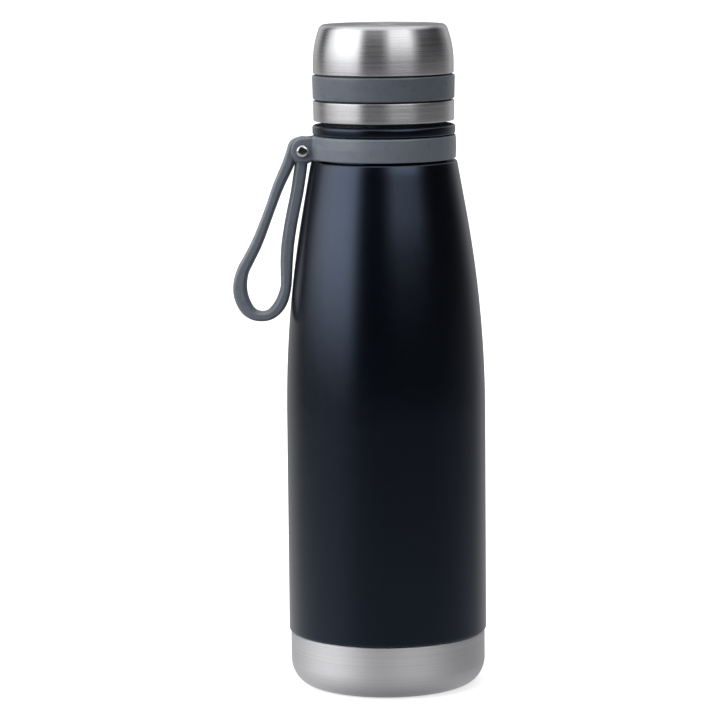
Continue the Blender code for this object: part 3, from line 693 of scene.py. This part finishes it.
def placed(obj, body, nodes, material, sharp=38):
    """Gives a finished piece its body, material and shading, and hides the CAD nodes it stands for."""
    mesh = obj.data
    mesh.materials.clear()
    mesh.materials.append(material)
    mesh.shade_smooth()
    mesh.set_sharp_from_angle(angle=math.radians(sharp))
    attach(obj, body)
    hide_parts(*nodes)
    return obj


# ---------------------------------------------------------------- bottle


def painted_body_outline():
    """Closed outline of the painted wall, from the top of its bead down to its end in the cup."""
    top_in = NECK_RADIUS + GAP
    groove_in = GROOVE_RADIUS - SHELL_WALL
    shoulder = taper_radius(SHOULDER_TOP)
    outer = rounded([
        (top_in, BEAD_TOP, 0.1 * MM),
        (BEAD_RADIUS, BEAD_TOP - 0.05 * MM, 0.9 * MM),
        (BEAD_RADIUS - 0.05 * MM, BEAD_BOTTOM, 0.55 * MM),
        (GROOVE_RADIUS, BEAD_BOTTOM, 0.2 * MM),
        (GROOVE_RADIUS, SHOULDER_TOP, 0.3 * MM),
        (shoulder - 0.05 * MM, SHOULDER_TOP, 0.8 * MM),
        (taper_radius(SHOULDER_TOP - 4 * MM), SHOULDER_TOP - 4 * MM),
    ], 7)
    outer += taper_line(BODY_STRAIGHT_TOP, SHOULDER_TOP - 6 * MM, 44)
    outer += divided([(BODY_RADIUS, BODY_STRAIGHT_TOP - 3 * MM), (BODY_RADIUS, PAINT_EDGE + 1 * MM)],
                     4 * MM, closed=False)
    outer += rounded([
        (BODY_RADIUS, PAINT_EDGE + 0.8 * MM),
        (BODY_RADIUS, PAINT_EDGE, 0.3 * MM),
        (SHELL_FOOT_RADIUS, PAINT_EDGE, 0.1 * MM),
        (SHELL_FOOT_RADIUS, SHELL_END, 0.1 * MM),
        (SHELL_FOOT_RADIUS - SHELL_WALL, SHELL_END, 0.1 * MM),
        (SHELL_FOOT_RADIUS - SHELL_WALL, PAINT_EDGE + SHELL_WALL),
        (BODY_RADIUS - SHELL_WALL, PAINT_EDGE + 2 * SHELL_WALL),
    ])[1:]
    inner = taper_line(BODY_STRAIGHT_TOP, SHOULDER_TOP - 5 * MM, 20, SHELL_WALL)
    inner.reverse()
    inner += [
        (groove_in, SHOULDER_TOP - 1.5 * MM),
        (groove_in, BEAD_TOP - SHELL_WALL),
        (top_in, BEAD_TOP - SHELL_WALL),
    ]
    return outer + inner


def thread_ridge(name, base_radius, height, bottom):
    """Rounded thread ridge from a base radius to its crest, sinking into the wall at both ends."""
    count = int(THREAD_TURNS * 90)
    half_foot = 1.25 * MM
    half_crest = 0.45 * MM
    root = -0.25 * MM * (1 if height > 0 else -1)
    section = [(root, -half_foot), (0.0, -half_foot), (height * 0.75, -half_crest - 0.22 * MM),
               (height, -half_crest), (height * 1.02, 0.0), (height, half_crest),
               (height * 0.75, half_crest + 0.22 * MM), (0.0, half_foot), (root, half_foot)]
    centres = []
    across = []
    along = []
    sections = []
    for index in range(count + 1):
        share = index / count
        angle = 2 * math.pi * THREAD_TURNS * share
        out = Vector((math.cos(angle), math.sin(angle), 0.0))
        edge = min(share, 1.0 - share) * THREAD_TURNS * 8.0
        size = 0.08 + 0.92 * math.sin(math.pi / 2 * min(1.0, edge))
        sections.append([(u * size, w * size) for u, w in section])
        centres.append(out * base_radius + Vector((0, 0, bottom + THREAD_LEAD * THREAD_TURNS * share)))
        across.append(out)
        along.append(Vector((0.0, 0.0, 1.0)))
    return swept(name, centres, across, along, sections)


def make_bottle(materials):
    """Painted wall, neck with its thread, inner flask and base cup."""
    body = turned("painted_body", painted_body_outline())
    placed(body, "bottle", ["outer_shell"], materials["powder_coat"])

    neck_in = NECK_RADIUS - NECK_WALL
    neck = turned("screw_neck", rounded([
        (NECK_RADIUS, NECK_TOP, 0.15 * MM),
        (NECK_RADIUS, NECK_BOTTOM, 0.1 * MM),
        (neck_in, NECK_BOTTOM, 0.1 * MM),
        (neck_in, NECK_TOP, 0.15 * MM),
    ], 3), MEDIUM)
    ridge = thread_ridge("neck_ridge", NECK_RADIUS, THREAD_HEIGHT, THREAD_BOTTOM)
    neck = combined(neck, [ridge], "UNION")
    placed(neck, "bottle", ["threaded_neck"], materials["flask_steel"], 50)

    make_flask(materials)
    make_cup(materials)


def flask_side(inset):
    """Side of the flask from its neck down to its floor corner, set in by a wall thickness."""
    neck = MOUTH_RADIUS + FLASK_WALL - inset
    gap = BODY_RADIUS - FLASK_RADIUS + inset
    line = [(neck, NECK_TOP - 1 * MM), (neck, FLASK_NECK_END)]
    low, high = FLASK_BLEND_BOTTOM, FLASK_BLEND_TOP
    low_radius = taper_radius(low, gap)
    for step in range(13):
        share = step / 12
        bend = share * share * (3 - 2 * share)
        line.append((neck + (low_radius - neck) * (0.35 * share ** 2 + 0.65 * bend),
                     high + (low - high) * share))
    line += taper_line(BODY_STRAIGHT_TOP, FLASK_TAPER_TOP, 20, gap)
    return line


def make_flask(materials):
    """Inner wall with its lip rolled over the neck and a dimpled floor."""
    neck_out = MOUTH_RADIUS + FLASK_WALL
    outer = rounded([
        (MOUTH_RADIUS, RIM_TOP, FLASK_LIP),
        (NECK_RADIUS, RIM_TOP, FLASK_LIP),
        (NECK_RADIUS, NECK_TOP + GAP, 0.1 * MM),
        (neck_out, NECK_TOP + GAP),
    ])
    outer += flask_side(0.0)
    outer += ellipse_corner(FLASK_RADIUS, FLASK_FLOOR + FLASK_CORNER, FLASK_CORNER, FLASK_CORNER)
    outer.append((0.0, FLASK_FLOOR))
    floor = FLASK_FLOOR + FLASK_WALL
    inner = flask_side(FLASK_WALL)
    inner += ellipse_corner(FLASK_RADIUS - FLASK_WALL, floor + FLASK_CORNER, FLASK_CORNER, FLASK_CORNER)
    inner += [(14.0 * MM, floor), (12.5 * MM, floor + 0.35 * MM), (0.0, floor + 0.35 * MM)]
    inner.reverse()
    flask = turned("flask_liner", inner + outer, 144)
    placed(flask, "bottle", ["inner_flask"], materials["flask_steel"])


# Soft step between the foot's flat and its ring groove, in mm: how far in and how far up
GROOVE_STEP = ((0.0, 0.0), (0.4, 0.03), (0.9, 0.28), (1.4, 0.35))


def make_cup(materials):
    """Pressed cup round the foot, with a shallow ring groove underneath."""
    corner_top = CUP_CORNER_HEIGHT
    outer = rounded([(CUP_RADIUS - CUP_WALL, CUP_TOP), (CUP_RADIUS, CUP_TOP, 0.28 * MM),
                     (CUP_RADIUS, corner_top + 1 * MM)], 5)[:-1]
    outer += divided([(CUP_RADIUS, CUP_TOP - 1 * MM), (CUP_RADIUS, corner_top + 0.5 * MM)],
                     1.5 * MM, closed=False)
    outer += ellipse_corner(CUP_RADIUS, corner_top, CUP_CORNER_WIDTH, corner_top, 26)
    outer += [(FOOT_GROOVE_OUTER - run * MM, rise * MM) for run, rise in GROOVE_STEP]
    outer += [(FOOT_GROOVE_INNER + run * MM, rise * MM) for run, rise in reversed(GROOVE_STEP)]
    outer.append((0.0, 0.0))
    inner = ellipse_corner(CUP_RADIUS - CUP_WALL, corner_top, CUP_CORNER_WIDTH,
                           corner_top - CUP_FLOOR, 12)
    inner.append((0.0, CUP_FLOOR))
    inner.reverse()
    cup = turned("steel_base_cup", inner + outer)
    placed(cup, "bottle", ["base_cup"], materials["cup_steel"])


# ---------------------------------------------------------------- lid


def top_shell_radius(z, inset=0.0):
    """Radius of the lid's top shell, which leans in above its straight skirt."""
    rise = max(0.0, z - TOP_SHELL_CURVE)
    lean = TOP_SHELL_SIDE_ARC - math.sqrt(TOP_SHELL_SIDE_ARC ** 2 - rise ** 2)
    return TOP_SHELL_RADIUS - lean - inset


def lid_cap_outline():
    """Flat top, a small rounded edge, the leaning side, and a rolled bottom edge."""
    wall = TOP_SHELL_RADIUS - LID_SKIN_RADIUS
    edge_z = LID_TOP - LID_EDGE_DROP
    side = top_shell_radius(edge_z)
    lean = math.asin((edge_z - TOP_SHELL_CURVE) / TOP_SHELL_SIDE_ARC)
    centre = (side - LID_EDGE * math.cos(lean), edge_z - LID_EDGE * math.sin(lean))
    lift = LID_TOP - (centre[1] + LID_EDGE)
    outer = [(0.0, LID_TOP), (8 * MM, LID_TOP), (16 * MM, LID_TOP)]
    for step in range(13):
        angle = math.pi / 2 + (lean - math.pi / 2) * step / 12
        rise = lift * (1 - step / 12)
        outer.append((centre[0] + LID_EDGE * math.cos(angle),
                      centre[1] + LID_EDGE * math.sin(angle) + rise))
    for step in range(1, 17):
        z = edge_z + (TOP_SHELL_CURVE - edge_z) * step / 16
        outer.append((top_shell_radius(z), z))
    outer += rounded([
        (TOP_SHELL_RADIUS, TOP_SHELL_CURVE - 1 * MM),
        (TOP_SHELL_RADIUS, TOP_SHELL_BOTTOM, 0.3 * MM),
        (LID_SKIN_RADIUS, TOP_SHELL_BOTTOM, 0.2 * MM),
        (LID_SKIN_RADIUS, TOP_SHELL_CURVE),
    ])
    for step in range(1, 7):
        z = TOP_SHELL_CURVE + (LID_TOP - 2.5 * MM - TOP_SHELL_CURVE) * step / 6
        outer.append((top_shell_radius(z, wall), z))
    outer += [(LID_INSIDE_FLAT, LID_TOP - wall), (0.0, LID_TOP - wall)]
    return outer


def ring_outline(radius_top, radius_bottom, bottom, top, top_edge, bottom_edge):
    """Section of a ring on the lid's skin, with rounded outer edges."""
    return divided(rounded([
        (LID_SKIN_RADIUS, top, 0.1 * MM),
        (radius_top, top, top_edge),
        (radius_bottom, bottom, bottom_edge),
        (LID_SKIN_RADIUS, bottom, 0.1 * MM),
    ], 6), 1.5 * MM)


def make_lid(materials):
    """Cap, grip band, lower ring, threaded core, steel underside and gasket."""
    steel = materials["lid_steel"]
    cap = turned("lid_cap", lid_cap_outline())
    placed(cap, "lid", ["lid_top_shell"], steel)
    band = turned("grip_band", ring_outline(BAND_RADIUS, BAND_RADIUS - 0.2 * MM, BAND_BOTTOM,
                                            BAND_TOP, 0.5 * MM, 0.5 * MM))
    placed(band, "lid", ["lid_grip_band"], materials["grey_silicone"])
    ring = turned("steel_ring", ring_outline(RING_RADIUS, RING_RADIUS - 0.1 * MM, RING_BOTTOM,
                                             RING_TOP, 0.28 * MM, 0.4 * MM))
    placed(ring, "lid", ["lid_lower_ring"], steel)

    rim_in = CORE_RADIUS - CORE_RIM_WALL
    core = turned("threaded_core", rounded([
        (0.0, WEB_TOP),
        (rim_in, WEB_TOP, 0.2 * MM),
        (rim_in, CORE_RIM_TOP, 0.15 * MM),
        (CORE_RADIUS, CORE_RIM_TOP, 0.15 * MM),
        (CORE_RADIUS, CORE_BOTTOM, 0.2 * MM),
        (THREAD_ROOT, CORE_BOTTOM, 0.2 * MM),
        (THREAD_ROOT, WEB_BOTTOM, 0.3 * MM),
        (0.0, WEB_BOTTOM),
    ], 3), 120)
    ridge = thread_ridge("lid_ridge", THREAD_ROOT, -THREAD_HEIGHT, THREAD_BOTTOM + THREAD_LEAD / 2)
    core = combined(core, [ridge], "UNION")
    placed(core, "lid", ["lid_core"], materials["black_plastic"], 50)

    pan_in = PAN_RADIUS - PAN_WALL
    dish = PAN_BOTTOM + PAN_DISH_DEPTH
    pan = turned("steel_underside", rounded([
        (0.0, PAN_BOTTOM + PAN_FLOOR),
        (pan_in, PAN_BOTTOM + PAN_FLOOR, 0.4 * MM),
        (pan_in, PAN_TOP, 0.1 * MM),
        (PAN_RADIUS, PAN_TOP, 0.1 * MM),
        (PAN_RADIUS, PAN_BOTTOM, 1.0 * MM),
        (PAN_DISH_RADIUS, PAN_BOTTOM, 0.4 * MM),
        (PAN_DISH_RADIUS - 0.4 * MM, dish, 0.4 * MM),
        (0.0, dish),
    ], 6), 144)
    placed(pan, "lid_plug", ["lid_underside_plate"], materials["flask_steel"])

    middle = (GASKET_BOTTOM + GASKET_TOP) / 2
    step_radius = GASKET_RADIUS - 0.5 * MM
    gasket = turned("seal_ring", rounded([
        (GASKET_INNER, GASKET_TOP, 0.3 * MM),
        (step_radius, GASKET_TOP, 0.3 * MM),
        (step_radius, middle + 0.25 * MM, 0.1 * MM),
        (GASKET_RADIUS, middle + 0.2 * MM, 0.1 * MM),
        (GASKET_RADIUS, GASKET_BOTTOM, 0.35 * MM),
        (GASKET_INNER, GASKET_BOTTOM, 0.35 * MM),
    ], 4), 144)
    placed(gasket, "lid_seal", ["lid_gasket"], materials["gasket_silicone"])


# ---------------------------------------------------------------- collar, rivet and strap


def ear_plate(name, side):
    """Rounded ear beside the strap's head, set a little above the pin, running into the band."""
    centre = PIN_Z + EAR_LIFT
    outline = []
    for step in range(33):
        angle = math.radians(90 + 180 * step / 32)
        outline.append((PIN_X + EAR_RADIUS * math.cos(angle), centre + EAR_RADIUS * math.sin(angle)))
    outline += [
        (PIN_X + 2.0 * MM, centre - EAR_RADIUS + 0.08 * MM),
        (PIN_X + 3.4 * MM, centre - EAR_RADIUS + 0.38 * MM),
        (EAR_ROOT_X, COLLAR_BOTTOM + 0.25 * MM),
        (EAR_ROOT_X, COLLAR_TOP - 0.3 * MM),
        (PIN_X + 3.4 * MM, centre + EAR_RADIUS + 0.32 * MM),
        (PIN_X + 2.0 * MM, centre + EAR_RADIUS + 0.12 * MM),
    ]
    curve = bpy.data.curves.new(name, "CURVE")
    curve.dimensions = "2D"
    curve.fill_mode = "BOTH"
    curve.extrude = EAR_THICKNESS / 2 - EAR_EDGE
    curve.bevel_depth = EAR_EDGE
    curve.bevel_resolution = 3
    curve.offset = -EAR_EDGE
    spline = curve.splines.new("POLY")
    spline.points.add(len(outline) - 1)
    spline.use_cyclic_u = True
    for point, (x, z) in zip(spline.points, outline):
        point.co = (x, z, 0.0, 1.0)
    ear = bpy.data.objects.new(name, curve)
    bpy.context.scene.collection.objects.link(ear)
    middle = side * (STRAP_WIDTH / 2 + GAP + EAR_THICKNESS / 2)
    ear.matrix_world = Matrix.Translation((0, middle, 0)) @ Matrix.Rotation(math.pi / 2, 4, "X")
    ear = baked(ear)
    weld = bmesh.new()
    weld.from_mesh(ear.data)
    bmesh.ops.remove_doubles(weld, verts=weld.verts, dist=0.002 * MM)
    weld.to_mesh(ear.data)
    weld.free()
    face_out(ear)
    return ear


def block(name, low, high):
    """Cutting block between two corners."""
    made = bmesh.new()
    bmesh.ops.create_cube(made, size=1.0)
    low, high = Vector(low), Vector(high)
    bmesh.ops.scale(made, vec=high - low, verts=made.verts)
    bmesh.ops.translate(made, vec=(low + high) / 2, verts=made.verts)
    mesh = bpy.data.meshes.new(name)
    made.to_mesh(mesh)
    made.free()
    obj = bpy.data.objects.new(name, mesh)
    bpy.context.scene.collection.objects.link(obj)
    return obj


def pin_bore(name):
    """Cutter for the pin's hole."""
    radius = PIN_RADIUS + GAP
    return about_pin(turned(name, [
        (0.0, CUTTER_REACH), (radius, CUTTER_REACH), (radius, -CUTTER_REACH), (0.0, -CUTTER_REACH),
    ], 48))


def make_collar(materials):
    """Band and ears, melted into one moulding with soft edges."""
    middle = (COLLAR_BOTTOM + COLLAR_TOP) / 2
    outline = divided(rounded([
        (COLLAR_INNER, COLLAR_TOP),
        (COLLAR_RADIUS - 0.15 * MM, COLLAR_TOP, 0.35 * MM),
        (COLLAR_RADIUS + 0.02 * MM, middle, 4.0 * MM),
        (COLLAR_RADIUS - 0.15 * MM, COLLAR_BOTTOM, 0.35 * MM),
        (COLLAR_INNER, COLLAR_BOTTOM),
    ]), 1.0 * MM)
    collar = turned("silicone_collar", outline, 160)
    collar = combined(collar, [ear_plate("front_ear", -1), ear_plate("rear_ear", 1)], "UNION")
    half = STRAP_WIDTH / 2 + GAP
    pocket = block("strap_pocket", (PIN_X - CUTTER_REACH, -half, PIN_Z - CUTTER_REACH),
                   (PIN_X + STRAP_HEAD_RADIUS + GAP, half, PIN_Z + CUTTER_REACH))
    collar = combined(collar, [pocket, pin_bore("ear_bore")], "DIFFERENCE")
    remesh = collar.modifiers.new("melt", "REMESH")
    remesh.mode = "VOXEL"
    remesh.voxel_size = COLLAR_SOFTNESS
    smooth = collar.modifiers.new("soften", "SMOOTH")
    smooth.factor = 0.5
    smooth.iterations = 8
    collar = baked(collar)
    placed(collar, "collar", ["strap_collar"], materials["strap_silicone"], 80)


def dome(seat, foot, height, steps=24):
    """Half outline of a low head, flatter in the middle than at its rim, on a low foot."""
    points = []
    for step in range(steps + 1):
        angle = math.pi / 2 * step / steps
        out = math.sin(angle) ** 0.45
        rise = max(0.0, math.cos(angle)) ** 1.10
        points.append((HEAD_RADIUS * out, seat + foot + height * rise))
    return points


def make_rivet(materials):
    """Pin with its head on the front ear, and the cap on its rear end."""
    seat = EAR_FACE + GAP
    tip = seat + 0.5 * MM
    post = turned("rivet_pin", dome(seat, 0.3 * MM, 0.95 * MM) + rounded([
        (HEAD_RADIUS, seat), (PIN_RADIUS, seat), (PIN_RADIUS, -tip, 0.15 * MM), (0.0, -tip)]), 64)
    post.data.transform(Matrix.Rotation(math.pi, 4, "X"))
    about_pin(post)
    placed(post, "collar", ["rivet_post"], materials["polished_steel"], 50)
    bore = PIN_RADIUS + GAP
    bottom = seat + 0.85 * MM
    cap = turned("rivet_rear_cap", dome(seat, 0.5 * MM, 1.15 * MM) + [
        (HEAD_RADIUS, seat), (bore, seat), (bore, bottom), (0.0, bottom)], 64)
    about_pin(cap)
    placed(cap, "collar", ["rivet_cap"], materials["polished_steel"], 50)


# The strap in mm: x and z of its middle line and its thickness there, from inside its head
# down the outer strand, round the bottom and up the inner strand
STRAP_ROUTE = (
    (-30.2, 200.2, 4.5), (-32.5, 199.3, 4.5), (-33.4, 196.8, 4.5), (-35.05, 192.3, 4.4),
    (-38.7, 184.3, 4.0), (-42.0, 175.5, 3.7), (-46.3, 164.6, 4.0), (-49.6, 158.0, 4.2),
    (-51.9, 153.6, 4.5), (-53.0, 149.0, 5.0), (-52.8, 144.5, 5.2), (-51.0, 140.1, 4.9),
    (-48.4, 137.6, 4.1), (-45.2, 136.8, 3.6), (-42.2, 137.4, 3.7), (-39.6, 139.6, 4.2),
    (-37.6, 142.9, 4.3), (-36.35, 147.3, 4.0), (-36.1, 151.5, 4.2), (-35.9, 157.5, 4.6),
    (-35.4, 163.4, 4.7), (-34.35, 170.0, 4.7), (-33.25, 175.5, 4.7), (-31.85, 182.1, 4.7),
    (-30.45, 190.8, 4.7), (-30.1, 194.6, 4.7),
)


def smooth_route(points, steps):
    """Catmull-Rom curve through the points."""
    route = []
    ends = [points[0], *points, points[-1]]
    for index in range(len(points) - 1):
        a, b, c, d = (Vector(ends[index + offset]) for offset in range(4))
        for step in range(steps):
            t = step / steps
            route.append(0.5 * (2 * b + (c - a) * t + (2 * a - 5 * b + 4 * c - d) * t ** 2
                                + (3 * b - a - 3 * c + d) * t ** 3))
    route.append(Vector(points[-1]))
    return route


def strap_section(thickness):
    """Band with round outer corners; its inner side is a low ridge between two sloping faces."""
    half_width = STRAP_WIDTH / 2 - 0.07 * MM
    half_thick = thickness / 2
    slope = min(1.25 * MM, 0.30 * thickness)
    return rounded([
        (half_thick, -half_width, 1.35 * MM),
        (half_thick, half_width, 1.35 * MM),
        (-half_thick + slope, half_width, 0.5 * MM),
        (-half_thick, half_width - 2.3 * MM, 0.6 * MM),
        (-half_thick, 2.3 * MM - half_width, 0.6 * MM),
        (-half_thick + slope, -half_width, 0.5 * MM),
    ], 5)


def make_strap(materials):
    """Flat band bent into a loop, with its round head bored for the pin."""
    route = smooth_route([Vector(point) * MM for point in STRAP_ROUTE], 9)
    centres = [Vector((point.x, 0.0, point.y)) for point in route]
    across = []
    for index in range(len(centres)):
        ahead = centres[min(index + 1, len(centres) - 1)]
        behind = centres[max(index - 1, 0)]
        heading = (ahead - behind).normalized()
        across.append(Vector((heading.z, 0.0, -heading.x)))
    along = [Vector((0.0, 1.0, 0.0))] * len(centres)
    sections = [strap_section(point.z) for point in route]
    strap = swept("carry_strap", centres, across, along, sections)
    face = STRAP_WIDTH / 2
    head = about_pin(turned("strap_head", rounded([
        (0.0, face), (STRAP_HEAD_RADIUS, face, STRAP_HEAD_EDGE),
        (STRAP_HEAD_RADIUS, -face, STRAP_HEAD_EDGE), (0.0, -face)], 6), 96))
    strap = combined(strap, [head], "UNION", crosses_itself=True)
    strap = combined(strap, [pin_bore("strap_bore")], "DIFFERENCE", crosses_itself=True)
    placed(strap, "strap", ["strap_loop"], materials["strap_silicone"], 28)


# ---------------------------------------------------------------- hidden CAD pieces

HIDDEN_FINISH = {
    "reflective_foil": "copper_foil",
    "vacuum_base_plate": "flask_steel",
    "vacuum_seal_bead": "braze",
    "getter_capsule": "getter",
    "base_adhesive_ring": "adhesive",
    "lid_insulation_puck": "white_foam",
}


def finish_hidden_nodes(materials):
    """Gives the CAD nodes that no piece stands for their materials."""
    for node, finish in HIDDEN_FINISH.items():
        mesh = frame["nodes"][node].data
        mesh.materials.clear()
        mesh.materials.append(materials[finish])


# ---------------------------------------------------------------- scene

bpy.context.scene.view_settings.view_transform = "Standard"
make_camera()
make_world()
make_lights()
make_floor()
MATERIALS = make_materials()
make_bottle(MATERIALS)
make_lid(MATERIALS)
make_collar(MATERIALS)
make_rivet(MATERIALS)
make_strap(MATERIALS)
finish_hidden_nodes(MATERIALS)
